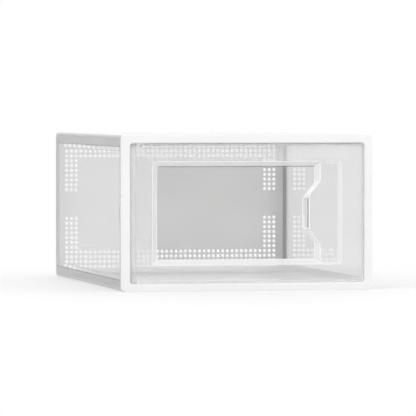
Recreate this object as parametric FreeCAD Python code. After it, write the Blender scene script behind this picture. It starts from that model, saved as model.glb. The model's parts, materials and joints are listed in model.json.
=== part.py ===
import FreeCAD, Part
import math
import os
from FreeCAD import Vector

# Front-opening stackable shoe box: a white front frame with a clear hinged door, four clear
# walls that snap together, and a frosted back with vent holes round its edge.
# X runs across the front, Y from the front (-Y) to the back (+Y), and Z up.
# The origin is at the centre of the underside.

# Overall sizes, in millimetres
WIDTH = 230.0
DEPTH = 340.0
HEIGHT = 140.0
CORNER_RADIUS = 3.0
WALL = 1.2
SEAM = 0.15                 # gap left between two pieces that are put together
OVERCUT = 1.0               # how far a cutting shape runs past the face that it opens
SMALLEST_RADIUS = 0.3

# Front frame
BAR = 7.0                   # width of the white bar round the door
RING_DEPTH = 12.0
LIP_REACH = 2.4             # how far the door stop reaches in from the bar
LIP_THICKNESS = 2.5
FRONT_CHAMFER = 1.0         # eased inner edge that lets the door swing clear
COLLAR_LENGTH = 8.0         # collar that slides inside the four walls
COLLAR_THICKNESS = 1.6

# Door
DOOR_GAP = 1.0
DOOR_THICKNESS = 2.0
DOOR_REST_GAP = 0.3         # shut door to its stop
DOOR_CORNER_RADIUS = 2.5
BARREL_RADIUS = 2.0
BARREL_CLEARANCE = 0.5
PIVOT_SETBACK = 2.4         # hinge axis behind the frame's front face
PIN_RADIUS = 1.2
PIN_CLEARANCE = 0.05
PIN_ENGAGEMENT = 3.6
PIN_END_GAP = 0.3
NOTCH_WIDTH = 9.9           # cut-away at each hinge corner of the door
NOTCH_HEIGHT = 2.2
NOTCH_CORNER_RADIUS = 0.5
NIB_PROUD = 0.45
NIB_RADIUS = 0.9
NIB_LENGTH = 8.0
NIB_SPACING = 40.0
DIMPLE_CLEARANCE = 0.4

# Recessed window, grip step and finger slot of the door
WINDOW_SIDE_MARGIN = 31.7   # from the box's side to the clear window
WINDOW_END_MARGIN = 28.0    # from the box's top and bottom to the clear window
WINDOW_RECESS = 3.2
WINDOW_CORNER_RADIUS = 3.0
BEVEL = 4.4
GRIP_RECESS = 1.0
GRIP_WIDTH = 20.8           # from the foot of the step to the window's right edge
STEP_BAND = 4.8
STEP_BULGE = 10.0           # how far the step swings out over the window
STEP_BULGE_HEIGHT = 32.0
STEP_SLANT_HEIGHT = 13.0
STEP_CORNER_RADIUS = 1.5
SLOT_WIDTH = 5.0
SLOT_HEIGHT = 27.5
SLOT_OVERLAP = 3.9          # how far the slot cuts into the step
POCKET_OVERCUT = 0.3        # keeps stacked pockets from meeting in one plane

# Wall joints
SKIRT = 10.0
TONGUE_THICKNESS = 1.5
TONGUE_HEIGHT = 6.5
TONGUE_ROOT = 4.0
TONGUE_END_GAP = 0.5
HOOK_LENGTH = 14.0
HOOK_WIDTH = 2.6
HOOK_RAMP = 0.8
HOOK_CLEARANCE = 0.2
HOOK_REACH = 0.5            # how far a snap hook stands out of its collar or tongue
GROOVE_SKIN = 0.65          # wall left outside the groove that a hook snaps into
SKIRT_HOOK_COUNT = 3
COLLAR_HOOK_SPACING = 115.0

# Back panel
BACK_THICKNESS = 1.8
BACK_COLLAR_LENGTH = 10.0
BACK_HOOK_LENGTH = 20.0
VENT = 2.8
VENT_PITCH = 4.7
VENT_SIDE_MARGIN = 11.6     # from the panel's side to the middle of the first vents
VENT_END_MARGIN = 8.9       # from its top and bottom to the middle of the first vents
VENT_SIDE_LINES = 3
VENT_END_LINES = 4
VENT_FREE_HEIGHT = 26.0     # plain stretch beside each side hook

# Planes and places that follow from the sizes
FRONT = -DEPTH / 2
BACK = DEPTH / 2
MIDDLE = HEIGHT / 2
RING_REAR = FRONT + RING_DEPTH
COLLAR_REAR = RING_REAR + COLLAR_LENGTH
BACK_PLATE = BACK - BACK_THICKNESS
BACK_COLLAR_FRONT = BACK_PLATE - BACK_COLLAR_LENGTH
WALL_FRONT = RING_REAR + SEAM
WALL_REAR = BACK_PLATE - SEAM
COLLAR_INSET = WALL + SEAM
HOOK_TIP = COLLAR_INSET - HOOK_REACH
DOOR_INSET = BAR + DOOR_GAP
PIVOT_X = DOOR_INSET + BARREL_RADIUS - WIDTH / 2
PIVOT_Y = FRONT + PIVOT_SETBACK
DOOR_FACE = PIVOT_Y - DOOR_THICKNESS / 2
LIP_FRONT = DOOR_FACE + DOOR_THICKNESS + DOOR_REST_GAP
LIP_REAR = LIP_FRONT + LIP_THICKNESS
FOOT_X = WIDTH / 2 - WINDOW_SIDE_MARGIN - GRIP_WIDTH
NIB_HEIGHTS = (MIDDLE - NIB_SPACING / 2, MIDDLE + NIB_SPACING / 2)


def box(x0, x1, y0, y1, z0, z1):
    return Part.makeBox(x1 - x0, y1 - y0, z1 - z0, Vector(x0, y0, z0))


def upright_cylinder(radius, x, y, z0, z1):
    return Part.makeCylinder(radius, z1 - z0, Vector(x, y, z0))


def upright_mirror(shape):
    return shape.mirror(Vector(0, 0, MIDDLE), Vector(0, 0, 1))


def sideways_mirror(shape):
    return shape.mirror(Vector(0, 0, 0), Vector(1, 0, 0))


def rounded_wire(corners, y):
    """Closed outline in the upright plane at y; each corner is (x, z, radius)."""
    points = [Vector(x, y, z) for x, z, _ in corners]
    ends = []
    for index, (_, _, radius) in enumerate(corners):
        corner = points[index]
        back = (points[index - 1] - corner).normalize()
        onward = (points[(index + 1) % len(points)] - corner).normalize()
        half = back.getAngle(onward) / 2
        inward = (back + onward).normalize()
        reach = radius / math.tan(half)
        middle = corner + inward * (radius / math.sin(half) - radius)
        ends.append((corner + back * reach, middle, corner + onward * reach))
    edges = []
    for index, (start, middle, end) in enumerate(ends):
        edges.append(Part.LineSegment(ends[index - 1][2], start).toShape())
        edges.append(Part.Arc(start, middle, end).toShape())
    return Part.Wire(edges)


def box_outline(inset, radius, y):
    """Outline of the box's front, moved in by inset, with rounded corners."""
    right = WIDTH / 2 - inset
    top = HEIGHT - inset
    return rounded_wire([(-right, inset, radius), (right, inset, radius),
                         (right, top, radius), (-right, top, radius)], y)


def slab(inset, radius, y0, y1):
    """Block as wide and high as the box, moved in by inset, from y0 to y1."""
    return Part.Face(box_outline(inset, radius, y0)).extrude(Vector(0, y1 - y0, 0))


def sleeve(inset, thickness, y0, y1):
    """Rounded four-sided tube that follows the box's outline."""
    outer = slab(inset, CORNER_RADIUS - inset, y0, y1)
    inner_radius = max(CORNER_RADIUS - inset - thickness, SMALLEST_RADIUS)
    return outer.cut(slab(inset + thickness, inner_radius, y0 - OVERCUT, y1 + OVERCUT))


def side_prism(side, profile, along, length):
    """Bar along one side of the outline; profile points are (inset, y)."""
    start = along - length / 2
    places = {
        "left": lambda inset, y: Vector(inset - WIDTH / 2, y, start),
        "right": lambda inset, y: Vector(WIDTH / 2 - inset, y, start),
        "bottom": lambda inset, y: Vector(start, y, inset),
        "top": lambda inset, y: Vector(start, y, HEIGHT - inset),
    }
    direction = Vector(0, 0, length) if side in ("left", "right") else Vector(length, 0, 0)
    points = [places[side](inset, y) for inset, y in profile]
    return Part.Face(Part.makePolygon(points + points[:1])).extrude(direction)


def collar_hook(side, y, along, length):
    """Ramped hook on a collar, its root sunk into the collar's wall."""
    root = COLLAR_INSET + COLLAR_THICKNESS / 2
    half = HOOK_WIDTH / 2
    profile = [(root, y - half), (COLLAR_INSET, y - half), (HOOK_TIP, y - half + HOOK_RAMP),
               (HOOK_TIP, y + half - HOOK_RAMP), (COLLAR_INSET, y + half), (root, y + half)]
    return side_prism(side, profile, along, length)


def hook_groove(side, y, along, length):
    """Blind groove in a wall's inner face for a collar hook."""
    half = HOOK_WIDTH / 2 + HOOK_CLEARANCE
    inner = WALL + OVERCUT
    profile = [(GROOVE_SKIN, y - half), (inner, y - half),
               (inner, y + half), (GROOVE_SKIN, y + half)]
    return side_prism(side, profile, along, length + 2 * HOOK_CLEARANCE)


FRAME_HOOK_Y = (WALL_FRONT + COLLAR_REAR) / 2
BACK_HOOK_Y = (BACK_COLLAR_FRONT + WALL_REAR) / 2
FRAME_HOOKS = [("left", MIDDLE), ("right", MIDDLE)]
for end in ("bottom", "top"):
    FRAME_HOOKS += [(end, -COLLAR_HOOK_SPACING / 2), (end, COLLAR_HOOK_SPACING / 2)]
BACK_HOOKS = [("left", MIDDLE), ("right", MIDDLE)]


def wall_tube():
    """The four walls in one, with every collar hook's groove, before they are parted."""
    tube = sleeve(0, WALL, WALL_FRONT, WALL_REAR)
    grooves = [hook_groove(side, FRAME_HOOK_Y, along, HOOK_LENGTH) for side, along in FRAME_HOOKS]
    grooves += [hook_groove(side, BACK_HOOK_Y, along, BACK_HOOK_LENGTH)
                for side, along in BACK_HOOKS]
    return tube.cut(grooves)


TONGUE_FRONT = COLLAR_REAR + TONGUE_END_GAP
TONGUE_BACK = BACK_COLLAR_FRONT - TONGUE_END_GAP
TONGUE_OUTER = COLLAR_INSET - WIDTH / 2
TONGUE_HOOK_Z = SKIRT - TONGUE_HEIGHT / 2
SKIRT_HOOK_STEP = (TONGUE_BACK - TONGUE_FRONT) / SKIRT_HOOK_COUNT
SKIRT_HOOKS = [TONGUE_FRONT + SKIRT_HOOK_STEP * (index + 0.5) for index in range(SKIRT_HOOK_COUNT)]


def skirt_grooves():
    """Blind grooves in both lower skirts for the hooks on the side walls' tongues."""
    half_height = HOOK_WIDTH / 2 + HOOK_CLEARANCE
    half_length = HOOK_LENGTH / 2 + HOOK_CLEARANCE
    groove_floor = GROOVE_SKIN - WIDTH / 2
    inside = WALL + OVERCUT - WIDTH / 2
    cuts = []
    for y in SKIRT_HOOKS:
        groove = box(groove_floor, inside, y - half_length, y + half_length,
                     TONGUE_HOOK_Z - half_height, TONGUE_HOOK_Z + half_height)
        cuts += [groove, sideways_mirror(groove)]
    return cuts


def bottom_panel():
    """Floor with rounded long edges and a low skirt up each side."""
    low_part = box(-WIDTH, WIDTH, -DEPTH, DEPTH, -OVERCUT, SKIRT)
    return wall_tube().common(low_part).cut(skirt_grooves())


def lower_tongue():
    """Tongue along the left wall's lower edge, with its hooks, that tucks behind a skirt."""
    inner = TONGUE_OUTER + TONGUE_THICKNESS
    tongue = box(TONGUE_OUTER, inner, TONGUE_FRONT, TONGUE_BACK,
                 SKIRT - TONGUE_HEIGHT, SKIRT + TONGUE_ROOT)
    root = box(WALL - WIDTH / 2 - SEAM, inner, TONGUE_FRONT, TONGUE_BACK,
               SKIRT + SEAM, SKIRT + TONGUE_ROOT)
    tip = HOOK_TIP - WIDTH / 2
    half = HOOK_WIDTH / 2
    hooks = []
    for y in SKIRT_HOOKS:
        profile = [(inner, TONGUE_HOOK_Z - half), (TONGUE_OUTER, TONGUE_HOOK_Z - half),
                   (tip, TONGUE_HOOK_Z - half + HOOK_RAMP), (tip, TONGUE_HOOK_Z + half),
                   (inner, TONGUE_HOOK_Z + half)]
        points = [Vector(x, y - HOOK_LENGTH / 2, z) for x, z in profile]
        face = Part.Face(Part.makePolygon(points + points[:1]))
        hooks.append(face.extrude(Vector(0, HOOK_LENGTH, 0)))
    return tongue.fuse([root] + hooks)


def left_panel():
    """Flat side wall between the skirts, with a tongue along its lower and upper edges."""
    flat_part = box(-WIDTH, 0, -DEPTH, DEPTH, SKIRT + SEAM, HEIGHT - SKIRT - SEAM)
    wall = wall_tube().common(flat_part)
    tongue = lower_tongue()
    return wall.fuse([tongue, upright_mirror(tongue)]).removeSplitter()


def vent_outlines(y):
    """Square vent holes in lines round the panel, left out beside the side hooks."""
    columns = 1 + round((WIDTH - 2 * VENT_SIDE_MARGIN) / VENT_PITCH)
    rows = 1 + round((HEIGHT - 2 * VENT_END_MARGIN) / VENT_PITCH)
    wires = []
    for column in range(columns):
        for row in range(rows):
            x = (column - (columns - 1) / 2) * VENT_PITCH
            rise = (row - (rows - 1) / 2) * VENT_PITCH
            side_band = min(column, columns - 1 - column) < VENT_SIDE_LINES
            end_band = min(row, rows - 1 - row) < VENT_END_LINES
            beside_hook = side_band and abs(rise) < VENT_FREE_HEIGHT / 2
            if (side_band or end_band) and not beside_hook:
                half = VENT / 2
                z = MIDDLE + rise
                corners = [Vector(x - half, y, z - half), Vector(x + half, y, z - half),
                           Vector(x + half, y, z + half), Vector(x - half, y, z + half)]
                wires.append(Part.makePolygon(corners + corners[:1]))
    return wires


def back_panel():
    """Vented plate with a collar that slides inside the walls and hooks into both sides."""
    outline = box_outline(0, CORNER_RADIUS, BACK_PLATE)
    vented_face = Part.makeFace([outline] + vent_outlines(BACK_PLATE), "Part::FaceMakerBullseye")
    plate = vented_face.extrude(Vector(0, BACK_THICKNESS, 0))
    collar = sleeve(COLLAR_INSET, COLLAR_THICKNESS, BACK_COLLAR_FRONT, BACK_PLATE)
    hooks = [collar_hook(side, BACK_HOOK_Y, along, BACK_HOOK_LENGTH) for side, along in BACK_HOOKS]
    return plate.fuse([collar] + hooks)


def front_frame():
    """Ring round the door with its stop lip, hinge sockets, catch dimples and rear collar."""
    ring = slab(0, CORNER_RADIUS, FRONT, RING_REAR)
    opening = slab(BAR + LIP_REACH, DOOR_CORNER_RADIUS, FRONT - OVERCUT, RING_REAR + OVERCUT)
    door_pocket = slab(BAR, DOOR_CORNER_RADIUS, FRONT - OVERCUT, LIP_FRONT)
    rear_pocket = slab(BAR, DOOR_CORNER_RADIUS, LIP_REAR, RING_REAR + OVERCUT)
    mouth_ease = Part.makeLoft([box_outline(BAR - 2 * FRONT_CHAMFER, DOOR_CORNER_RADIUS,
                                            FRONT - FRONT_CHAMFER),
                                box_outline(BAR, DOOR_CORNER_RADIUS, FRONT + FRONT_CHAMFER)],
                               True, True)
    channel_left = BAR - WIDTH / 2
    channel_rear = PIVOT_Y + BARREL_RADIUS + BARREL_CLEARANCE
    hinge_channel = box(channel_left, PIVOT_X + BARREL_RADIUS + DOOR_GAP, FRONT + FRONT_CHAMFER,
                        channel_rear, BAR, HEIGHT - BAR)
    cuts = [opening, door_pocket, rear_pocket, mouth_ease, hinge_channel]
    socket_depth = PIN_ENGAGEMENT + PIN_END_GAP
    socket_radius = PIN_RADIUS + PIN_CLEARANCE
    cuts.append(upright_cylinder(socket_radius, PIVOT_X, PIVOT_Y,
                                 BAR - socket_depth, BAR + OVERCUT))
    cuts.append(upright_cylinder(socket_radius, PIVOT_X, PIVOT_Y,
                                 HEIGHT - BAR - OVERCUT, HEIGHT - BAR + socket_depth))
    dimple_length = NIB_LENGTH + 2 * DIMPLE_CLEARANCE
    nib_x = WIDTH / 2 - DOOR_INSET + NIB_PROUD - NIB_RADIUS
    for z in NIB_HEIGHTS:
        cuts.append(upright_cylinder(NIB_RADIUS + DIMPLE_CLEARANCE + DOOR_GAP - NIB_PROUD,
                                     nib_x, PIVOT_Y, z - dimple_length / 2, z + dimple_length / 2))
    collar = sleeve(COLLAR_INSET, COLLAR_THICKNESS, RING_REAR, COLLAR_REAR)
    hooks = [collar_hook(side, FRAME_HOOK_Y, along, HOOK_LENGTH) for side, along in FRAME_HOOKS]
    return ring.cut(cuts).fuse([collar] + hooks)


def window_outline(recess, y, right_outset):
    """Window's rounded outline where its bevel has reached the given recess."""
    outset = BEVEL * (1 - recess / WINDOW_RECESS)
    left = WINDOW_SIDE_MARGIN - outset - WIDTH / 2
    right = WIDTH / 2 - WINDOW_SIDE_MARGIN + right_outset
    low = WINDOW_END_MARGIN - outset
    high = HEIGHT - low
    radius = WINDOW_CORNER_RADIUS
    return rounded_wire([(left, low, radius), (right, low, radius),
                         (right, high, radius), (left, high, radius)], y)


def step_outline(recess, y):
    """Window outline whose right side is the wave-shaped foot of the grip step."""
    outset = BEVEL * (1 - recess / WINDOW_RECESS)
    climb = STEP_BAND * (WINDOW_RECESS - recess) / (WINDOW_RECESS - GRIP_RECESS)
    left = WINDOW_SIDE_MARGIN - outset - WIDTH / 2
    low = WINDOW_END_MARGIN - outset
    foot = FOOT_X + climb
    bulge = foot - STEP_BULGE
    bulge_half = STEP_BULGE_HEIGHT / 2
    slant_half = bulge_half + STEP_SLANT_HEIGHT
    corner = WINDOW_CORNER_RADIUS
    bend = STEP_CORNER_RADIUS
    lower_half = [(left, low, corner), (foot, low, bend), (foot, MIDDLE - slant_half, bend),
                  (bulge, MIDDLE - bulge_half, bend)]
    upper_half = [(x, HEIGHT - z, radius) for x, z, radius in reversed(lower_half)]
    return rounded_wire(lower_half + upper_half, y)


def window_form(shift):
    """Recess of the whole window: its shallow grip level, then the deeper clear pane."""
    face = DOOR_FACE + shift
    mouth_recess = -POCKET_OVERCUT
    mouth_right = BEVEL * (1 - mouth_recess / GRIP_RECESS)
    grip_level = Part.makeLoft([window_outline(mouth_recess, face + mouth_recess, mouth_right),
                                window_outline(GRIP_RECESS, face + GRIP_RECESS, 0)], True, True)
    pane_start = GRIP_RECESS - POCKET_OVERCUT
    pane_level = Part.makeLoft([step_outline(pane_start, face + pane_start),
                                step_outline(WINDOW_RECESS, face + WINDOW_RECESS)], True, True)
    return [grip_level, pane_level]


def door():
    """Clear door with its hinge barrel and pins, recessed window, finger slot and nibs."""
    left = PIVOT_X
    right = WIDTH / 2 - DOOR_INSET
    bottom = DOOR_INSET
    top = HEIGHT - DOOR_INSET
    notch_right = DOOR_INSET + NOTCH_WIDTH - WIDTH / 2
    low_shoulder = bottom + NOTCH_HEIGHT
    high_shoulder = top - NOTCH_HEIGHT
    lower_half = [(left, low_shoulder, NOTCH_CORNER_RADIUS),
                  (notch_right, low_shoulder, NOTCH_CORNER_RADIUS),
                  (notch_right, bottom, NOTCH_CORNER_RADIUS),
                  (right, bottom, DOOR_CORNER_RADIUS)]
    upper_half = [(x, HEIGHT - z, radius) for x, z, radius in reversed(lower_half)]
    outline = rounded_wire(lower_half + upper_half, DOOR_FACE)
    plate = Part.Face(outline).extrude(Vector(0, DOOR_THICKNESS, 0))
    barrel = upright_cylinder(BARREL_RADIUS, PIVOT_X, PIVOT_Y, low_shoulder, high_shoulder)
    pins = upright_cylinder(PIN_RADIUS, PIVOT_X, PIVOT_Y, BAR - PIN_ENGAGEMENT,
                            HEIGHT - BAR + PIN_ENGAGEMENT)
    body = plate.fuse(window_form(DOOR_THICKNESS)).cut(window_form(0))
    nibs = [upright_cylinder(NIB_RADIUS, right + NIB_PROUD - NIB_RADIUS, PIVOT_Y,
                             z - NIB_LENGTH / 2, z + NIB_LENGTH / 2) for z in NIB_HEIGHTS]
    slot_right = FOOT_X - STEP_BULGE + SLOT_OVERLAP
    slot = box(slot_right - SLOT_WIDTH, slot_right, FRONT - OVERCUT, COLLAR_REAR,
               MIDDLE - SLOT_HEIGHT / 2, MIDDLE + SLOT_HEIGHT / 2)
    return body.fuse([barrel, pins] + nibs).cut(slot)


left = left_panel()
floor = bottom_panel()
PIECES = {
    "front_frame": front_frame(),
    "door": door(),
    "top_panel": upright_mirror(floor),
    "bottom_panel": floor,
    "left_panel": left,
    "right_panel": sideways_mirror(left),
    "back_panel": back_panel(),
}

os.makedirs("parts", exist_ok=True)
for name, shape in PIECES.items():
    solids = shape.Solids
    print(name, "valid", shape.isValid(), "solids", len(solids), "volume", round(shape.Volume))
    solids[0].exportStep(os.path.join("parts", name + ".step"))
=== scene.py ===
import bmesh
import bpy
import json
import math
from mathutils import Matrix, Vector

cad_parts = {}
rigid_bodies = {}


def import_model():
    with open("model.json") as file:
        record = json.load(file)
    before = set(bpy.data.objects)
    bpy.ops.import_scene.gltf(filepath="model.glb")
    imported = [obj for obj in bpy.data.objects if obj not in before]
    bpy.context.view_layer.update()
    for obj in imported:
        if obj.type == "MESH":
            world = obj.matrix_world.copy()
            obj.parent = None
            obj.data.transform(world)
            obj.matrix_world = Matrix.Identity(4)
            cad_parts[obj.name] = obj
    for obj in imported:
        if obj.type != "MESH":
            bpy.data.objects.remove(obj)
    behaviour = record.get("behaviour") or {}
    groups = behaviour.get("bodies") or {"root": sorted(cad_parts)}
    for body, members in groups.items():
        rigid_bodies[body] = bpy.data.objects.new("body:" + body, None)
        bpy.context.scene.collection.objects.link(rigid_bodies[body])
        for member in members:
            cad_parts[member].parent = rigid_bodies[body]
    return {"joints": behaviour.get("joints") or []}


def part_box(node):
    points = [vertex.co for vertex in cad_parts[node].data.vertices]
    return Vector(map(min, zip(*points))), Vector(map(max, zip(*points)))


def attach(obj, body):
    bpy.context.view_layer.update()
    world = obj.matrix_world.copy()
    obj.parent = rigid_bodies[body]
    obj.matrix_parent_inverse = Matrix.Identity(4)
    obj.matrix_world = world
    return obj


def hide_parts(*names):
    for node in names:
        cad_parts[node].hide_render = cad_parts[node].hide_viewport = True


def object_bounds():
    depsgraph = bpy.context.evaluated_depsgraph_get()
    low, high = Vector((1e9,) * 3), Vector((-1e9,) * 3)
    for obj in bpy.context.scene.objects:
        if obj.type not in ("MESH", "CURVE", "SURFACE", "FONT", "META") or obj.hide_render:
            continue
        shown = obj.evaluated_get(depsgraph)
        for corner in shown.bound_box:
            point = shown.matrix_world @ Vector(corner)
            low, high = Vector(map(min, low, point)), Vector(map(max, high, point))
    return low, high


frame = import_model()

cad_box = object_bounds()
scene = bpy.context.scene
scene.view_settings.view_transform = "Standard"
box_low, box_high = (Vector(corner) for corner in cad_box)
box_middle = (box_low + box_high) / 2

# Camera. It stands low in front of the box and a little to its left, as far off as for a
# product picture, so that the front shows almost square on and the left wall in a strip.
camera_place = Vector((-0.802, -3.666, 0.174))
bpy.ops.object.camera_add(location=camera_place)
camera = bpy.context.object
camera.rotation_euler = (box_middle - camera_place).to_track_quat("-Z", "Y").to_euler()
camera.data.lens = 345.0
camera.data.sensor_width = 36.0
camera.data.clip_end = 60.0
scene.camera = camera

# Studio light. A white sky lights the box evenly from all round, and three soft round lamps
# give it a bright side: one from the left front, a weaker one from the right, one from behind.
sky_strength = 0.82
white = (1, 1, 1, 1)
sky = bpy.data.worlds.new("studio_sky")
scene.world = sky
sky.use_nodes = True
sky_nodes = sky.node_tree.nodes
sky_wires = sky.node_tree.links


def joined(nodes, wires, first, second, operation):
    """Socket with the product or the larger of two sockets, as the operation says."""
    both = nodes.new("ShaderNodeMath")
    both.operation = operation
    wires.new(first, both.inputs[0])
    wires.new(second, both.inputs[1])
    return both.outputs[0]


def seen_by_eye(nodes, wires):
    """Socket that is 1 for rays from the camera, off gloss or through clear plastic."""
    path = nodes.new("ShaderNodeLightPath")
    direct = joined(nodes, wires, path.outputs["Is Camera Ray"], path.outputs["Is Glossy Ray"],
                    "MAXIMUM")
    return joined(nodes, wires, direct, path.outputs["Is Transmission Ray"], "MAXIMUM")


sky_light = sky_nodes["Background"]
sky_light.inputs["Color"].default_value = white
sky_light.inputs["Strength"].default_value = sky_strength
backdrop = sky_nodes.new("ShaderNodeBackground")
backdrop.inputs["Color"].default_value = white
backdrop.inputs["Strength"].default_value = 1.0
sky_pick = sky_nodes.new("ShaderNodeMixShader")
sky_wires.new(seen_by_eye(sky_nodes, sky_wires), sky_pick.inputs[0])
sky_wires.new(sky_light.outputs[0], sky_pick.inputs[1])
sky_wires.new(backdrop.outputs[0], sky_pick.inputs[2])
sky_wires.new(sky_pick.outputs[0], sky_nodes["World Output"].inputs["Surface"])

lamps = {
    "left_front_lamp": ((-1.6, -1.8, 2.2), 2.0, 20.0),
    "right_lamp": ((1.9, -1.2, 1.6), 1.6, 7.0),
    "rear_lamp": ((0.2, 1.4, 2.4), 2.0, 9.0),
}
for name, (place, width, power) in lamps.items():
    bpy.ops.object.light_add(type="AREA", location=place)
    lamp = bpy.context.object
    lamp.name = name
    lamp.data.shape = "DISK"
    lamp.data.size = width
    lamp.data.energy = power
    lamp.rotation_euler = (box_middle - Vector(place)).to_track_quat("-Z", "Y").to_euler()

# Studio floor. A pale, dull sheet that runs far back. It shows its own colour and the box's
# shadow near the box, and fades into the white backdrop with distance.
floor_size = 40.0
shadow_reach = 0.25
fade_end = 0.9
least_glow = 0.35
bpy.ops.mesh.primitive_plane_add(size=floor_size, location=(0, 0, box_low.z))
floor = bpy.context.object
floor.name = "studio_floor"

floor_finish = bpy.data.materials.new("studio_floor")
floor_finish.use_nodes = True
nodes = floor_finish.node_tree.nodes
wires = floor_finish.node_tree.links
floor_shader = nodes["Principled BSDF"]
floor_shader.inputs["Base Color"].default_value = (0.93, 0.93, 0.93, 1)
floor_shader.inputs["Roughness"].default_value = 0.6
floor_shader.inputs["Specular IOR Level"].default_value = 0.2
place = nodes.new("ShaderNodeTexCoord")
distance = nodes.new("ShaderNodeVectorMath")
distance.operation = "LENGTH"
wires.new(place.outputs["Object"], distance.inputs[0])
fade = nodes.new("ShaderNodeMapRange")
fade.inputs["From Min"].default_value = shadow_reach
fade.inputs["From Max"].default_value = fade_end
fade.inputs["To Min"].default_value = least_glow
fade.inputs["To Max"].default_value = 1.0
wires.new(distance.outputs["Value"], fade.inputs["Value"])
glow_share = joined(nodes, wires, fade.outputs["Result"], seen_by_eye(nodes, wires), "MULTIPLY")
glow = nodes.new("ShaderNodeEmission")
glow.inputs["Color"].default_value = white
glow.inputs["Strength"].default_value = 1.0
floor_pick = nodes.new("ShaderNodeMixShader")
wires.new(glow_share, floor_pick.inputs[0])
wires.new(floor_shader.outputs[0], floor_pick.inputs[1])
wires.new(glow.outputs[0], floor_pick.inputs[2])
wires.new(floor_pick.outputs[0], nodes["Material Output"].inputs["Surface"])
floor.data.materials.append(floor_finish)

# Front frame. One white moulding of stiff plastic: a square ring round the door, a thin stop
# behind the door's edge, and a collar at the rear that slides into the four walls and holds
# there by six small ramped hooks. The left bar has the hinge channel and its two pin sockets.
mm = 0.001
frame_low, frame_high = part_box("front_frame")
door_low, door_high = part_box("door")
wall_low, wall_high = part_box("left_panel")
middle_z = box_middle.z
corner_radius = 3 * mm
seam = 0.15 * mm
wall_thickness = 1.2 * mm
collar_inset = wall_thickness + seam
collar_thickness = 1.6 * mm
ring_rear = wall_low.y - seam
bar = 7 * mm
lip_reach = 2.4 * mm
hinge_place = Vector(frame["joints"][0]["pos_m"])
door_thickness = 2 * mm
door_face = hinge_place.y - door_thickness / 2
door_rest_gap = 0.3 * mm
lip_thickness = 2.5 * mm
lip_front = door_face + door_thickness + door_rest_gap
lip_rear = lip_front + lip_thickness
mouth_ease = 1 * mm
barrel_radius = 2 * mm
pin_radius = 1.2 * mm
pin_clearance = 0.05 * mm
pin_end_gap = 0.3 * mm
door_gap = 1 * mm
nib_spacing = 40 * mm
nib_length = 8 * mm
nib_radius = 0.9 * mm
dimple_room = 0.4 * mm
hook_width = 2.6 * mm
hook_ramp = 0.8 * mm
hook_length = 14 * mm
hook_reach = 0.5 * mm
hook_spacing = 115 * mm
edge_softness = 0.35 * mm
thin_softness = 0.3 * mm
sharp_turn = math.radians(40)
merge_distance = 2e-6
tiny = 1e-6


def open_new(name, *finishes):
    """Starts a piece: an empty mesh at the origin with its finishes, open in edit mode."""
    bpy.ops.object.select_all(action="DESELECT")
    bpy.ops.object.add(type="MESH", location=(0, 0, 0))
    piece = bpy.context.object
    piece.name = name
    for finish in finishes:
        piece.data.materials.append(finish)
    bpy.ops.object.mode_set(mode="EDIT")
    return piece


def pick(kind, wanted):
    """Selects only the vertices, edges or faces whose middle passes the test."""
    bpy.ops.mesh.select_mode(type=kind)
    bpy.ops.mesh.select_all(action="DESELECT")
    mesh = bmesh.from_edit_mesh(bpy.context.object.data)
    parts = {"VERT": mesh.verts, "EDGE": mesh.edges, "FACE": mesh.faces}[kind]
    for part in parts:
        ends = [part] if kind == "VERT" else part.verts
        middle = sum((end.co for end in ends), Vector()) / len(ends)
        part.select_set(wanted(middle))
    mesh.select_flush_mode()
    bmesh.update_edit_mesh(bpy.context.object.data)


def trace(corners, y, steps=6):
    """Draws a closed outline in the upright plane at y by extruding a point from corner to
    corner, and rounds it; each corner is (x, z, radius). Leaves the outline selected."""
    bpy.ops.mesh.select_mode(type="VERT")
    bpy.ops.mesh.select_all(action="DESELECT")
    points = [Vector((x, y, z)) for x, z, _ in corners]
    bpy.ops.mesh.primitive_plane_add(size=mm, location=points[0])
    bpy.ops.mesh.merge(type="CENTER")
    for here, onward in zip(points, points[1:]):
        bpy.ops.mesh.extrude_vertices_move(TRANSFORM_OT_translate={"value": onward - here})
    pick("VERT", lambda place: min((place - points[0]).length, (place - points[-1]).length) < tiny)
    bpy.ops.mesh.edge_face_add()
    bpy.ops.mesh.select_linked()
    bpy.ops.mesh.edge_face_add()
    for index, (_, _, radius) in enumerate(corners):
        corner = points[index]
        onward = points[(index + 1) % len(points)] - corner
        reach = radius * math.tan((corner - points[index - 1]).angle(onward) / 2)
        pick("VERT", lambda place: (place - corner).length < tiny)
        bpy.ops.mesh.bevel(offset=reach, affect="VERTICES", segments=steps if radius > mm else 2)
    arc_end = corner + onward.normalized() * reach
    pick("VERT", lambda place: (place - arc_end).length < tiny)
    bpy.ops.mesh.select_linked()
    bpy.ops.mesh.delete(type="ONLY_FACE")
    pick("VERT", lambda place: (place - arc_end).length < tiny)
    bpy.ops.mesh.select_linked()


def inset_corners(inset):
    """The box's four upright corners, moved in by the given inset, each with its radius."""
    low_x, high_x = box_low.x + inset, box_high.x - inset
    low_z, high_z = box_low.z + inset, box_high.z - inset
    return [(x, z, corner_radius)
            for x, z in ((low_x, low_z), (high_x, low_z), (high_x, high_z), (low_x, high_z))]


def sweep_round(profile):
    """Carries the selected outline through a cross-section; each point is (inset, y)."""
    half = (box_high - box_low) / 2
    for (inset, y), (next_inset, next_y) in zip(profile, profile[1:]):
        bpy.ops.mesh.extrude_edges_move(TRANSFORM_OT_translate={"value": (0, next_y - y, 0)})
        narrower = (half.x - next_inset) / (half.x - inset)
        lower = (half.z - next_inset) / (half.z - inset)
        bpy.ops.transform.resize(value=(narrower, 1, lower), center_override=box_middle)


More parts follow.
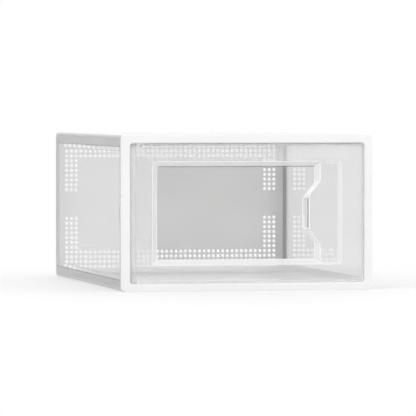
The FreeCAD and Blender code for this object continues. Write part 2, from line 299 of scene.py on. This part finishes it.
def ease_edges(width, steps=2, sharpest=30, where=None, finish=-1):
    """Rounds the edges of the open mesh that are sharper than the given angle."""
    bpy.ops.mesh.select_mode(type="EDGE")
    bpy.ops.mesh.select_all(action="DESELECT")
    bpy.ops.mesh.edges_select_sharp(sharpness=math.radians(sharpest))
    if where:
        mesh = bmesh.from_edit_mesh(bpy.context.object.data)
        for edge in mesh.edges:
            if edge.select and not where((edge.verts[0].co + edge.verts[1].co) / 2):
                edge.select_set(False)
        bmesh.update_edit_mesh(bpy.context.object.data)
    bpy.ops.mesh.bevel(offset=width, segments=steps, affect="EDGES", clamp_overlap=False,
                       material=finish)


def close_up(piece):
    """Merges the open mesh's seams, turns its faces outwards and leaves edit mode."""
    bpy.ops.mesh.select_all(action="SELECT")
    bpy.ops.mesh.remove_doubles(threshold=merge_distance)
    bpy.ops.mesh.normals_make_consistent(inside=False)
    bpy.ops.object.mode_set(mode="OBJECT")
    return piece


def combine(piece, tool, operation):
    """Joins a tool shape to the piece, or cuts it out, and removes the tool."""
    bpy.ops.object.select_all(action="DESELECT")
    bpy.context.view_layer.objects.active = piece
    piece.select_set(True)
    boolean = piece.modifiers.new(operation.lower(), "BOOLEAN")
    boolean.operation = operation
    boolean.solver = "MANIFOLD"
    boolean.object = tool
    if not tool.data.materials:
        for finish in piece.data.materials:
            tool.data.materials.append(finish)
    bpy.ops.object.modifier_apply(modifier=boolean.name)
    bpy.data.objects.remove(tool)


def block(low, high):
    """Adds a box between two corners to the open mesh and leaves it selected."""
    low, high = Vector(low), Vector(high)
    bpy.ops.mesh.select_all(action="DESELECT")
    bpy.ops.mesh.primitive_cube_add(size=1, location=(low + high) / 2)
    bpy.ops.transform.resize(value=high - low, center_override=(low + high) / 2)


def upright_rod(radius, x, y, low, high, sides=24):
    """Adds an upright cylinder to the open mesh and leaves it selected."""
    bpy.ops.mesh.select_all(action="DESELECT")
    bpy.ops.mesh.primitive_cylinder_add(vertices=sides, radius=radius, depth=high - low,
                                        location=(x, y, (low + high) / 2))


def ramped_hook(outward, sideways, y, along, length):
    """Adds a snap hook to the open mesh: its root in the collar and its tip narrower."""
    half = (box_high - box_low) / 2
    surface = abs(outward.dot(half)) - collar_inset
    root = surface - collar_thickness / 2
    tip = surface + hook_reach
    middle = box_middle + outward * (root + tip) / 2 + sideways * along
    middle.y = y
    size = outward * (tip - root) + sideways * length + Vector((0, hook_width, 0))
    size = Vector(abs(number) for number in size)
    block(middle - size / 2, middle + size / 2)
    tip_face = middle + outward * (tip - root) / 2
    pick("FACE", lambda place: (place - tip_face).length < tiny)
    bpy.ops.transform.resize(value=(1, 1 - 2 * hook_ramp / hook_width, 1),
                             center_override=tip_face)


def new_finish(name):
    """A new material: returns it, its nodes, its wires, its shader and the place on the piece."""
    finish = bpy.data.materials.new(name)
    finish.use_nodes = True
    nodes = finish.node_tree.nodes
    place = nodes.new("ShaderNodeTexCoord").outputs["Object"]
    return finish, nodes, finish.node_tree.links, nodes["Principled BSDF"], place


def cloudy(nodes, wires, place, per_metre, low, high, detail=2.0):
    """Socket that drifts between low and high in soft patches over the piece."""
    cloud = nodes.new("ShaderNodeTexNoise")
    cloud.inputs["Scale"].default_value = per_metre
    cloud.inputs["Detail"].default_value = detail
    wires.new(place, cloud.inputs["Vector"])
    spread = nodes.new("ShaderNodeMapRange")
    spread.inputs["From Min"].default_value = 0.3
    spread.inputs["From Max"].default_value = 0.7
    spread.inputs["To Min"].default_value = low
    spread.inputs["To Max"].default_value = high
    wires.new(cloud.outputs["Fac"], spread.inputs["Value"])
    return spread.outputs["Result"]


def tinted(nodes, wires, share, first, second):
    """Socket with a colour that turns from the first to the second with the given share."""
    blend = nodes.new("ShaderNodeMix")
    blend.data_type = "RGBA"
    blend.inputs["A"].default_value = (*first, 1)
    blend.inputs["B"].default_value = (*second, 1)
    wires.new(share, blend.inputs["Factor"])
    return blend.outputs["Result"]


def moulded_grain(nodes, wires, shader, place, per_metre, height):
    """Gives the shader the fine relief that the mould leaves on the plastic."""
    relief = nodes.new("ShaderNodeBump")
    relief.inputs["Strength"].default_value = 1.0
    relief.inputs["Distance"].default_value = height
    wires.new(cloudy(nodes, wires, place, per_metre, 0, 1, detail=4), relief.inputs["Height"])
    wires.new(relief.outputs["Normal"], shader.inputs["Normal"])


def smooth_off(piece):
    """Shades the eased edges round and keeps the broad faces flat."""
    bpy.ops.object.select_all(action="DESELECT")
    piece.select_set(True)
    bpy.context.view_layer.objects.active = piece
    bpy.ops.object.shade_smooth_by_angle(angle=sharp_turn)
    flat = piece.modifiers.new("flat_faces", "WEIGHTED_NORMAL")
    flat.keep_sharp = True
    bpy.ops.object.modifier_apply(modifier=flat.name)


LEFT, RIGHT = Vector((-1, 0, 0)), Vector((1, 0, 0))
DOWN, UP = Vector((0, 0, -1)), Vector((0, 0, 1))
REARWARD = Vector((0, 1, 0))

frame_dull = (0.87, 0.87, 0.865)
frame_bright = (0.9, 0.9, 0.9)
white_plastic, nodes, wires, shader, place = new_finish("front_frame_white")
patches = cloudy(nodes, wires, place, per_metre=14, low=0, high=1)
wires.new(tinted(nodes, wires, patches, frame_dull, frame_bright), shader.inputs["Base Color"])
wires.new(cloudy(nodes, wires, place, per_metre=160, low=0.28, high=0.4),
          shader.inputs["Roughness"])
moulded_grain(nodes, wires, shader, place, per_metre=1500, height=0.004 * mm)

front_frame = open_new("front_frame_moulding", white_plastic)
trace(inset_corners(0), frame_low.y)
sweep_round([(0, frame_low.y), (0, ring_rear), (collar_inset, ring_rear),
             (collar_inset, frame_high.y), (collar_inset + collar_thickness, frame_high.y),
             (collar_inset + collar_thickness, ring_rear), (bar, ring_rear), (bar, lip_rear),
             (bar + lip_reach, lip_rear), (bar + lip_reach, lip_front), (bar, lip_front),
             (bar, frame_low.y + mouth_ease), (bar - mouth_ease, frame_low.y), (0, frame_low.y)])
close_up(front_frame)
bpy.ops.object.mode_set(mode="EDIT")
ease_edges(edge_softness)
close_up(front_frame)

hooks = open_new("hooks")
hook_y = (ring_rear + seam + frame_high.y) / 2
for outward in (LEFT, RIGHT):
    ramped_hook(outward, UP, hook_y, 0, hook_length)
for outward in (DOWN, UP):
    for along in (-hook_spacing / 2, hook_spacing / 2):
        ramped_hook(outward, RIGHT, hook_y, along, hook_length)
combine(front_frame, close_up(hooks), "UNION")

channel = open_new("hinge_channel")
block((box_low.x + bar, frame_low.y + mouth_ease, box_low.z + bar),
      (hinge_place.x + barrel_radius + door_gap, hinge_place.y + barrel_radius + door_gap / 2,
       box_high.z - bar))
combine(front_frame, close_up(channel), "DIFFERENCE")

sockets = open_new("pin_sockets")
socket_radius = pin_radius + pin_clearance
socket_end = door_low.z - pin_end_gap
upright_rod(socket_radius, hinge_place.x, hinge_place.y, socket_end, box_low.z + bar + mm)
upright_rod(socket_radius, hinge_place.x, hinge_place.y, box_high.z - bar - mm,
            box_high.z - socket_end)
combine(front_frame, close_up(sockets), "DIFFERENCE")

dimples = open_new("catch_dimples")
dimple_x = door_high.x - nib_radius
dimple_half = nib_length / 2 + dimple_room
for side in (-1, 1):
    dimple_z = middle_z + side * nib_spacing / 2
    upright_rod(nib_radius + dimple_room + door_gap / 2, dimple_x, hinge_place.y,
                dimple_z - dimple_half, dimple_z + dimple_half)
combine(front_frame, close_up(dimples), "DIFFERENCE")

smooth_off(front_frame)
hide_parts("front_frame")
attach(front_frame, "box")

# Floor and roof. Two alike clear mouldings of thin stiff plastic: a flat sheet with rounded
# long edges and a low skirt down each side. Blind grooves inside take the frame's hooks and
# the side walls' hooks, which is all that holds the box together.
skin = 0.65 * mm
hook_clearance = 0.2 * mm
tongue_height = 6.5 * mm
tongue_end_gap = 0.5 * mm
skirt_hook_count = 3
floor_low, floor_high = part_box("bottom_panel")
back_collar_low, back_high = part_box("back_panel")
tongue_front = frame_high.y + tongue_end_gap
tongue_rear = back_collar_low.y - tongue_end_gap
tongue_hook_z = floor_high.z - tongue_height / 2
hook_step = (tongue_rear - tongue_front) / skirt_hook_count
tongue_hook_places = [tongue_front + hook_step * (count + 0.5)
                      for count in range(skirt_hook_count)]


def groove(outward, sideways, y, along, length, height=hook_width):
    """Adds to the open mesh the block that a blind groove is cut with, in a wall's inside."""
    surface = abs(outward.dot((box_high - box_low) / 2))
    deep = surface - skin
    shallow = surface - wall_thickness - mm
    middle = box_middle + outward * (deep + shallow) / 2 + sideways * along
    middle.y = y
    size = outward * (deep - shallow) + sideways * (length + 2 * hook_clearance)
    size = Vector(abs(number) for number in size)
    size.y = height + 2 * hook_clearance
    block(middle - size / 2, middle + size / 2)


def turned_copy(piece, name):
    """A copy with its own mesh, turned half round about the box's long middle line."""
    bpy.ops.object.select_all(action="DESELECT")
    piece.select_set(True)
    bpy.context.view_layer.objects.active = piece
    bpy.ops.object.duplicate()
    copy = bpy.context.object
    copy.name = name
    bpy.ops.transform.rotate(value=math.pi, orient_axis="Y", center_override=box_middle)
    bpy.ops.object.transform_apply(location=True, rotation=True, scale=True)
    return copy


lamp_light_kept = (0.95, 0.95, 0.95, 1)


def let_lamps_through(nodes, wires, shader):
    """Lets the lamps' light through a clear shader, a little dimmed."""
    path = nodes.new("ShaderNodeLightPath")
    gap = nodes.new("ShaderNodeBsdfTransparent")
    gap.inputs["Color"].default_value = lamp_light_kept
    pick_light = nodes.new("ShaderNodeMixShader")
    wires.new(path.outputs["Is Shadow Ray"], pick_light.inputs[0])
    wires.new(shader.outputs[0], pick_light.inputs[1])
    wires.new(gap.outputs[0], pick_light.inputs[2])
    wires.new(pick_light.outputs[0], nodes["Material Output"].inputs["Surface"])


def clear_plastic(name, least_haze, most_haze, tone=0.955):
    """Clear moulded plastic whose haze drifts between two shares, with a faint ripple."""
    finish, nodes, wires, shader, place = new_finish(name)
    shader.inputs["Base Color"].default_value = (tone, tone, tone, 1)
    shader.inputs["IOR"].default_value = 1.49
    wires.new(cloudy(nodes, wires, place, per_metre=9, low=1 - most_haze, high=1 - least_haze),
              shader.inputs["Transmission Weight"])
    wires.new(cloudy(nodes, wires, place, per_metre=45, low=0.005, high=0.03),
              shader.inputs["Roughness"])
    moulded_grain(nodes, wires, shader, place, per_metre=14, height=0.004 * mm)
    let_lamps_through(nodes, wires, shader)
    return finish


def beyond(nodes, wires, distance, edge):
    """Socket that turns from 0 to 1 over a millimetre where the distance passes the edge."""
    turn = nodes.new("ShaderNodeMapRange")
    turn.inputs["From Min"].default_value = edge - mm / 2
    turn.inputs["From Max"].default_value = edge + mm / 2
    wires.new(distance, turn.inputs["Value"])
    return turn.outputs["Result"]


def from_middle(nodes, wires, place):
    """Sockets X, Y and Z with the distances across, along and up from the box's middle."""
    offset = nodes.new("ShaderNodeVectorMath")
    offset.operation = "SUBTRACT"
    offset.inputs[1].default_value = box_middle
    wires.new(place, offset.inputs[0])
    size = nodes.new("ShaderNodeVectorMath")
    size.operation = "ABSOLUTE"
    wires.new(offset.outputs[0], size.inputs[0])
    parts = nodes.new("ShaderNodeSeparateXYZ")
    wires.new(size.outputs[0], parts.inputs[0])
    return parts.outputs


# The walls' colour: their own pale tone, turning to dark grey near the box's sides at the height
# of the skirts and along the back collar, where the layers overlap. The dark grey is painted
# shade, standing in for the shade at these overlaps.
wall_tone = (0.86, 0.86, 0.86)
overlap_shade_tone = (0.6, 0.6, 0.6)
overlap_shade_width = 5 * mm
half_size = (box_high - box_low) / 2
skirt_height = floor_high.z - floor_low.z
wall_plastic = clear_plastic("wall_clear", 0.0, 0.01)
nodes = wall_plastic.node_tree.nodes
wires = wall_plastic.node_tree.links
place = nodes.new("ShaderNodeTexCoord").outputs["Object"]
distances = from_middle(nodes, wires, place)
# Mask of the painted shade: near the sides, and there at the skirts' height or along the back
# collar.
at_side = beyond(nodes, wires, distances["X"], half_size.x - overlap_shade_width)
at_skirt = beyond(nodes, wires, distances["Z"], half_size.z - skirt_height)
at_rear = beyond(nodes, wires, distances["Y"], back_collar_low.y)
layered = joined(nodes, wires, at_skirt, at_rear, "MAXIMUM")
in_overlap_shade = joined(nodes, wires, at_side, layered, "MULTIPLY")
wires.new(tinted(nodes, wires, in_overlap_shade, wall_tone, overlap_shade_tone),
          nodes["Principled BSDF"].inputs["Base Color"])

floor_panel = open_new("floor_moulding", wall_plastic)
block(floor_low, floor_high)
floor_middle_y = (floor_low.y + floor_high.y) / 2
half_length = (floor_high.y - floor_low.y) / 2
pick("FACE", lambda place: place.z > floor_high.z - tiny
     or abs(place.y - floor_middle_y) > half_length - tiny)
bpy.ops.mesh.delete(type="FACE")
pick("EDGE", lambda place: place.z < floor_low.z + tiny and abs(place.x) > floor_high.x - tiny)
bpy.ops.mesh.bevel(offset=corner_radius, segments=8, affect="EDGES")
bpy.ops.object.mode_set(mode="OBJECT")
wall = floor_panel.modifiers.new("wall", "SOLIDIFY")
wall.thickness = wall_thickness
wall.offset = -1
bpy.ops.object.modifier_apply(modifier=wall.name)
bpy.ops.object.mode_set(mode="EDIT")
ease_edges(thin_softness)
close_up(floor_panel)

grooves = open_new("floor_grooves")
for along in (-hook_spacing / 2, hook_spacing / 2):
    groove(DOWN, RIGHT, hook_y, along, hook_length)
for outward in (LEFT, RIGHT):
    for y in tongue_hook_places:
        groove(outward, UP, y, tongue_hook_z - middle_z, hook_width, hook_length)
combine(floor_panel, close_up(grooves), "DIFFERENCE")
roof_panel = turned_copy(floor_panel, "roof_moulding")

for panel, node in ((floor_panel, "bottom_panel"), (roof_panel, "top_panel")):
    smooth_off(panel)
    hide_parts(node)
    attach(panel, "box")

# Side walls. Two alike clear mouldings: a flat sheet between the skirts of the floor and the
# roof, with a tongue along its lower and upper edge that tucks in behind the skirt. Three
# hooks on each tongue snap into the skirt.
tongue_thickness = 1.5 * mm
tongue_root = 4 * mm
wall_inside = wall_low.x + wall_thickness
sheet_low = floor_high.z + seam
sheet_high = box_high.z - sheet_low
root_low = floor_high.z + tongue_root
left_wall = open_new("left_wall_moulding", wall_plastic)
block((wall_low.x, wall_low.y, sheet_low), (wall_inside, wall_high.y, sheet_high))
for cut_place, cut_direction in (((0, 0, root_low), UP), ((0, 0, box_high.z - root_low), UP),
                                 ((0, tongue_front, 0), REARWARD),
                                 ((0, tongue_rear, 0), REARWARD)):
    bpy.ops.mesh.select_all(action="SELECT")
    bpy.ops.mesh.bisect(plane_co=cut_place, plane_no=cut_direction)


def on_tongue(place):
    """True inside the wall, where the two tongues grow out of it."""
    return (place.x > wall_inside - tiny and tongue_front < place.y < tongue_rear
            and abs(place.z - middle_z) > middle_z - root_low)


pick("FACE", on_tongue)
bpy.ops.mesh.extrude_region_move(TRANSFORM_OT_translate={"value": (seam, 0, 0)})
bpy.ops.mesh.extrude_region_move(TRANSFORM_OT_translate={"value": (tongue_thickness, 0, 0)})
tongue_middle = wall_inside + seam + tongue_thickness / 2
for edge_z, direction in ((sheet_low, -1), (sheet_high, 1)):
    pick("FACE", lambda place: abs(place.x - tongue_middle) < tongue_thickness / 4
         and abs(place.z - edge_z) < tiny)
    drop = (floor_high.z - tongue_height - sheet_low) * -direction
    bpy.ops.mesh.extrude_region_move(TRANSFORM_OT_translate={"value": (0, 0, drop)})
tongue_inside = tongue_middle + tongue_thickness / 2
ease_edges(thin_softness, where=lambda place: place.x < wall_low.x + tiny
           or place.x > tongue_inside - tiny)
close_up(left_wall)

hooks = open_new("tongue_hooks")
hook_tip = box_low.x + collar_inset - hook_reach
for y in tongue_hook_places:
    for end in (-1, 1):
        z = middle_z + end * (middle_z - tongue_hook_z)
        block((hook_tip, y - hook_length / 2, z - hook_width / 2),
              (tongue_middle, y + hook_length / 2, z + hook_width / 2))
        ramp_edge = Vector((hook_tip, y, z + end * hook_width / 2))
        pick("EDGE", lambda place: (place - ramp_edge).length < tiny)
        bpy.ops.transform.translate(value=(0, 0, -end * hook_ramp))
combine(left_wall, close_up(hooks), "UNION")

grooves = open_new("wall_grooves")
back_hook_length = 20 * mm
back_thickness = 1.8 * mm
back_plate = back_high.y - back_thickness
back_hook_y = (back_collar_low.y + back_plate - seam) / 2
groove(LEFT, UP, hook_y, 0, hook_length)
groove(LEFT, UP, back_hook_y, 0, back_hook_length)
combine(left_wall, close_up(grooves), "DIFFERENCE")
right_wall = turned_copy(left_wall, "right_wall_moulding")

for panel, node in ((left_wall, "left_panel"), (right_wall, "right_panel")):
    smooth_off(panel)
    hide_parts(node)
    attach(panel, "box")

# Back panel. One frosted moulding: a plate with square vent holes in lines round its edge,
# left out beside the two side hooks, and a collar that slides inside the four walls.
vent = 2.8 * mm
vent_pitch = 4.7 * mm
vent_side_margin = 11.6 * mm
vent_end_margin = 8.9 * mm
vent_side_lines = 3
vent_end_lines = 4
vent_free_height = 26 * mm
vent_softness = 0.25 * mm
columns = 1 + round((box_high.x - box_low.x - 2 * vent_side_margin) / vent_pitch)
rows = 1 + round((box_high.z - box_low.z - 2 * vent_end_margin) / vent_pitch)


def near_vent(place):
    """True where the place lies in one of the panel's vent holes."""
    column = (place.x - box_middle.x) / vent_pitch + (columns - 1) / 2
    row = (place.z - middle_z) / vent_pitch + (rows - 1) / 2
    at_column, at_row = round(column), round(row)
    inside = max(abs(column - at_column), abs(row - at_row)) < vent / vent_pitch / 2
    side_band = min(at_column, columns - 1 - at_column) < vent_side_lines
    end_band = min(at_row, rows - 1 - at_row) < vent_end_lines
    on_panel = min(at_column, columns - 1 - at_column, at_row, rows - 1 - at_row) >= 0
    beside_hook = side_band and abs(place.z - middle_z) < vent_free_height / 2
    return inside and on_panel and (side_band or end_band) and not beside_hook


def in_plain_middle(place):
    """True in the panel's plain middle, inside the lines of vents."""
    plain_x = (columns / 2 - vent_side_lines) * vent_pitch
    plain_z = (rows / 2 - vent_end_lines) * vent_pitch
    return abs(place.x - box_middle.x) < plain_x and abs(place.z - middle_z) < plain_z


plate_dull = (0.82, 0.82, 0.815)
plate_bright = (0.87, 0.87, 0.865)
# Painted shade: the collar, everything in front of the plate, is coloured dark grey, standing in
# for the shade along the back's edges where the collar is seen edge-on.
collar_painted_shade = (0.36, 0.36, 0.36, 1)
frosted_back, nodes, wires, shader, place = new_finish("back_frosted")
patches = cloudy(nodes, wires, place, per_metre=22, low=0, high=1)
plate_colour = tinted(nodes, wires, patches, plate_dull, plate_bright)
# Mask that keeps the plate's own colour and gives the collar the painted shade.
on_plate = beyond(nodes, wires, from_middle(nodes, wires, place)["Y"], back_plate - mm / 2)
plate_or_collar_shade = nodes.new("ShaderNodeMix")
plate_or_collar_shade.data_type = "RGBA"
plate_or_collar_shade.inputs["A"].default_value = collar_painted_shade
wires.new(plate_colour, plate_or_collar_shade.inputs["B"])
wires.new(on_plate, plate_or_collar_shade.inputs["Factor"])
wires.new(plate_or_collar_shade.outputs["Result"], shader.inputs["Base Color"])
wires.new(cloudy(nodes, wires, place, per_metre=300, low=0.42, high=0.6),
          shader.inputs["Roughness"])
shader.inputs["Transmission Weight"].default_value = 0.12
moulded_grain(nodes, wires, shader, place, per_metre=1200, height=0.01 * mm)

back_panel = open_new("back_moulding", frosted_back)
trace(inset_corners(0), back_plate)
bpy.ops.mesh.edge_face_add()
for count, direction, middle in ((columns, RIGHT, box_middle.x), (rows, UP, middle_z)):
    for line in range(count):
        for side in (-1, 1):
            cut = middle + (line - (count - 1) / 2) * vent_pitch + side * vent / 2
            bpy.ops.mesh.select_all(action="SELECT")
            bpy.ops.mesh.bisect(plane_co=direction * cut, plane_no=direction)
pick("FACE", near_vent)
bpy.ops.mesh.delete(type="FACE")
pick("FACE", in_plain_middle)
bpy.ops.mesh.dissolve_faces()
bpy.ops.mesh.select_all(action="SELECT")
to_outside = (0, back_high.y - back_plate, 0)
bpy.ops.mesh.extrude_region_move(TRANSFORM_OT_translate={"value": to_outside})
bpy.ops.mesh.select_all(action="SELECT")
bpy.ops.mesh.normals_make_consistent(inside=False)
ease_edges(vent_softness, steps=1)
close_up(back_panel)

collar = open_new("back_collar")
collar_sunk = 0.6 * mm
collar_rear = back_plate + collar_sunk
trace(inset_corners(collar_inset), back_collar_low.y)
inner_inset = collar_inset + collar_thickness
sweep_round([(collar_inset, back_collar_low.y), (collar_inset, collar_rear),
             (inner_inset, collar_rear), (inner_inset, back_collar_low.y),
             (collar_inset, back_collar_low.y)])
bpy.ops.mesh.select_all(action="SELECT")
bpy.ops.mesh.remove_doubles(threshold=merge_distance)
ease_edges(edge_softness, where=lambda place: place.y < back_collar_low.y + tiny)
combine(back_panel, close_up(collar), "UNION")
hooks = open_new("back_hooks")
for outward in (LEFT, RIGHT):
    ramped_hook(outward, UP, back_hook_y, 0, back_hook_length)
combine(back_panel, close_up(hooks), "UNION")

smooth_off(back_panel)
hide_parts("back_panel")
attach(back_panel, "box")

# Door. One clear moulding: a thin plate whose wide window is pressed in, with a shallower
# grip zone at its right behind a wave-shaped step, and a rimmed finger slot in the step. A
# round barrel runs up its left edge, with a pin at each end, and two nibs catch in the frame.
window_side_margin = 31.7 * mm
window_end_margin = 28 * mm
window_recess = 3.2 * mm
grip_recess = 1 * mm
bevel_width = 4.4 * mm
grip_width = 20.8 * mm
step_band = 4.8 * mm
step_bulge = 10 * mm
step_bulge_height = 32 * mm
step_slant_height = 13 * mm
window_corner_radius = 3 * mm
step_corner_radius = 1.5 * mm
door_corner_radius = 2.5 * mm
notch_width = 9.9 * mm
notch_height = 2.2 * mm
slot_width = 5 * mm
slot_height = 27.5 * mm
slot_overlap = 3.9 * mm
slot_corner_radius = 1.2 * mm
slot_rim_width = 1.1 * mm
slot_rim_radius = 2.2 * mm
slot_rim_setback = 0.2 * mm
slot_rim_softness = 0.25 * mm
notch_corner_radius = 0.4 * mm
flat_enough = 0.98
door_inset = bar + door_gap
door_left = hinge_place.x
door_right = box_high.x - door_inset
door_bottom = box_low.z + door_inset
shoulder = door_bottom + notch_height
notch_right = box_low.x + door_inset + notch_width
grip_outset = bevel_width * (1 - grip_recess / window_recess)


def upright_pair(lower_corners):
    """An outline's lower corners, and the same ones mirrored above the box's middle."""
    upper = [(x, 2 * middle_z - z, radius) for x, z, radius in reversed(lower_corners)]
    return lower_corners + upper


def stretch_to(low_x, high_x, margin, y):
    """Moves the selection to depth y and stretches it between the given sides."""
    mesh = bmesh.from_edit_mesh(bpy.context.object.data)
    places = [vertex.co.copy() for vertex in mesh.verts if vertex.select]
    first_x, last_x = min(place.x for place in places), max(place.x for place in places)
    first_z, last_z = min(place.z for place in places), max(place.z for place in places)
    bpy.ops.transform.translate(value=(0, y - places[0].y, 0))
    wider = (high_x - low_x) / (last_x - first_x)
    taller = (box_high.z - box_low.z - 2 * margin) / (last_z - first_z)
    fixed_x = (low_x - wider * first_x) / (1 - wider)
    bpy.ops.transform.resize(value=(wider, 1, taller), center_override=(fixed_x, y, middle_z))


def split(wanted, cut_place, cut_direction):
    """Cuts the faces that pass the test along a plane."""
    pick("FACE", wanted)
    bpy.ops.mesh.bisect(plane_co=cut_place, plane_no=cut_direction)


def give_finish(piece, index, wanted):
    """Gives the faces whose middle and normal pass the test the finish of that number."""
    bpy.ops.mesh.select_mode(type="FACE")
    bpy.ops.mesh.select_all(action="DESELECT")
    mesh = bmesh.from_edit_mesh(piece.data)
    for face in mesh.faces:
        face.select_set(wanted(face.calc_center_median(), face.normal))
    bmesh.update_edit_mesh(piece.data)
    piece.active_material_index = index
    bpy.ops.object.material_slot_assign()


hazed, sloping, clear, gripped, rounded, painted_dark = range(6)
door_haze = clear_plastic("door_hazed", 0.28, 0.35)
# The slopes get a heavier white haze than the door's border: a painted highlight, standing in for
# the light that the clear slopes catch.
door_slopes = clear_plastic("door_slopes", 0.56, 0.64)
door_window = clear_plastic("door_window", 0.0, 0.03)
door_grip = clear_plastic("door_grip", 0.12, 0.18)
door_edges = clear_plastic("door_edges", 0.82, 0.92)
# The dark grey clear finish below is painted shade: it darkens the finger slot's sides and draws a
# thin shade line along the window's top edge.
painted_shade_clear = clear_plastic("door_painted_shade", 0.05, 0.1, tone=0.3)
door = open_new("door_moulding", door_haze, door_slopes, door_window, door_grip, door_edges,
                painted_shade_clear)

window_left = box_low.x + window_side_margin
window_right = box_high.x - window_side_margin
grip_face = door_face + grip_recess
pane_face = door_face + window_recess
mouth = upright_pair([(window_left - bevel_width, window_end_margin - bevel_width,
                       window_corner_radius),
                      (window_right + bevel_width, window_end_margin - bevel_width,
                       window_corner_radius)])
trace(mouth, door_face)
bpy.ops.mesh.extrude_edges_move()
stretch_to(window_left - grip_outset, window_right, window_end_margin - grip_outset, grip_face)
bpy.ops.mesh.edge_face_add()

crest = window_right - grip_width + step_band
bulge_x = crest - step_bulge
bulge_half = step_bulge_height / 2
slant_half = bulge_half + step_slant_height


def at_grip_level(place):
    """True on the grip zone's plane, where the whole window starts."""
    return abs(place.y - grip_face) < tiny


def in_step_strip(place):
    """True on that plane in the upright strip that the wave-shaped step swings through."""
    return at_grip_level(place) and bulge_x < place.x < crest


def left_of_step(place):
    """True on the window's side of the wave-shaped step."""
    swung_back = max(place.x - bulge_x, 0) / step_bulge
    wave_z = bulge_half + swung_back * step_slant_height
    return place.x < bulge_x or place.x < crest and abs(place.z - middle_z) > wave_z


split(at_grip_level, (crest, 0, 0), RIGHT)
split(lambda place: at_grip_level(place) and place.x < crest, (bulge_x, 0, 0), RIGHT)
for end in (-1, 1):
    split(in_step_strip, (0, 0, middle_z + end * slant_half), UP)
    split(in_step_strip, (bulge_x, 0, middle_z + end * bulge_half),
          (-step_slant_height, 0, end * step_bulge))
for pane_side in (True, False):
    pick("FACE", lambda place: at_grip_level(place) and left_of_step(place) == pane_side)
    bpy.ops.mesh.dissolve_faces()
slant_turn = math.atan2(step_bulge, step_slant_height)
for corner_x, corner_rise in ((crest, slant_half), (bulge_x, bulge_half)):
    pick("VERT", lambda place: at_grip_level(place) and abs(place.x - corner_x) < tiny
         and abs(abs(place.z - middle_z) - corner_rise) < tiny)
    bpy.ops.mesh.bevel(offset=step_corner_radius * math.tan(slant_turn / 2), affect="VERTICES",
                       segments=5)
pick("FACE", lambda place: at_grip_level(place) and left_of_step(place))
bpy.ops.mesh.extrude_region_move()
stretch_to(window_left, crest - step_band, window_end_margin, pane_face)

outline = upright_pair([(door_left, shoulder, notch_corner_radius),
                        (notch_right, shoulder, notch_corner_radius),
                        (notch_right, door_bottom, notch_corner_radius),
                        (door_right, door_bottom, door_corner_radius)])
trace(outline, door_face)
pick("VERT", lambda place: abs(place.y - door_face) < tiny)
bpy.ops.mesh.fill()
bpy.ops.mesh.select_all(action="SELECT")
bpy.ops.mesh.dissolve_limited(angle_limit=math.radians(1))
bpy.ops.mesh.select_all(action="SELECT")
bpy.ops.mesh.extrude_region_move(TRANSFORM_OT_translate={"value": (0, door_thickness, 0)})
bpy.ops.mesh.select_all(action="SELECT")
bpy.ops.mesh.normals_make_consistent(inside=False)


def on_slope(place, normal):
    """True on the sloping bands round the window and on the step."""
    in_mouth = (abs(place.x - box_middle.x) < window_right + bevel_width
                and abs(place.z - middle_z) < middle_z - window_end_margin + bevel_width)
    return in_mouth and 0.1 < abs(normal.y) < flat_enough


def on_sheet(face_y):
    """A test that is true on the flat part at that depth, front and back."""
    rear_y = face_y + door_thickness
    return lambda place, normal: (abs(normal.y) > flat_enough
                                  and min(abs(place.y - face_y), abs(place.y - rear_y)) < tiny)


def on_window_top(place, normal):
    """True on the rounded corners along the clear pane's top, front and back."""
    window_top = box_high.z - window_end_margin
    return (window_left < place.x < crest - step_band
            and abs(place.z - window_top) < edge_softness + tiny)


give_finish(door, hazed, lambda place, normal: True)
# The slopes take the heavier haze that stands in for their highlight.
give_finish(door, sloping, on_slope)
give_finish(door, clear, on_sheet(pane_face))
give_finish(door, gripped, on_sheet(grip_face))
ease_edges(edge_softness, steps=3, sharpest=16, finish=rounded)
# Painted shade: the rounded corners along the window's top get the dark grey finish, which draws a
# thin shade line there.
give_finish(door, painted_dark, on_window_top)
close_up(door)

slot_right = crest - step_band - step_bulge + slot_overlap
slot_left = slot_right - slot_width
slot_low = middle_z - slot_height / 2
slot_high = middle_z + slot_height / 2


def slot_block(name, margin, front, rear, corner, index):
    """A block round the finger slot's place, with rounded corners and one finish."""
    piece = open_new(name, *door.data.materials)
    block((slot_left - margin, front, slot_low - margin),
          (slot_right + margin, rear, slot_high + margin))
    pick("EDGE", lambda place: abs(place.y - (front + rear) / 2) < tiny)
    bpy.ops.mesh.bevel(offset=corner, segments=5, affect="EDGES")
    give_finish(piece, index, lambda place, normal: True)
    return piece


rim = slot_block("slot_rim", slot_rim_width, grip_face + slot_rim_setback,
                 pane_face + door_thickness, slot_rim_radius, rounded)
ease_edges(slot_rim_softness, sharpest=60, where=lambda place: place.y < pane_face)
combine(door, close_up(rim), "UNION")
# The slot's sides get the dark grey finish: painted shade.
finger_slot = slot_block("finger_slot", 0, frame_low.y - mm, frame_high.y, slot_corner_radius,
                         painted_dark)
combine(door, close_up(finger_slot), "DIFFERENCE")

hinge_rods = open_new("door_barrel")
upright_rod(barrel_radius, door_left, hinge_place.y, shoulder, box_high.z - shoulder, sides=32)
ease_edges(thin_softness, sharpest=60)
combine(door, close_up(hinge_rods), "UNION")
pins = open_new("door_pins")
upright_rod(pin_radius, door_left, hinge_place.y, door_low.z, door_high.z)
ease_edges(thin_softness, sharpest=60)
combine(door, close_up(pins), "UNION")
nibs = open_new("door_nibs")
for end in (-1, 1):
    nib_z = middle_z + end * nib_spacing / 2
    upright_rod(nib_radius, door_high.x - nib_radius, hinge_place.y, nib_z - nib_length / 2,
                nib_z + nib_length / 2, sides=16)
combine(door, close_up(nibs), "UNION")

smooth_off(door)
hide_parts("door")
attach(door, "door")
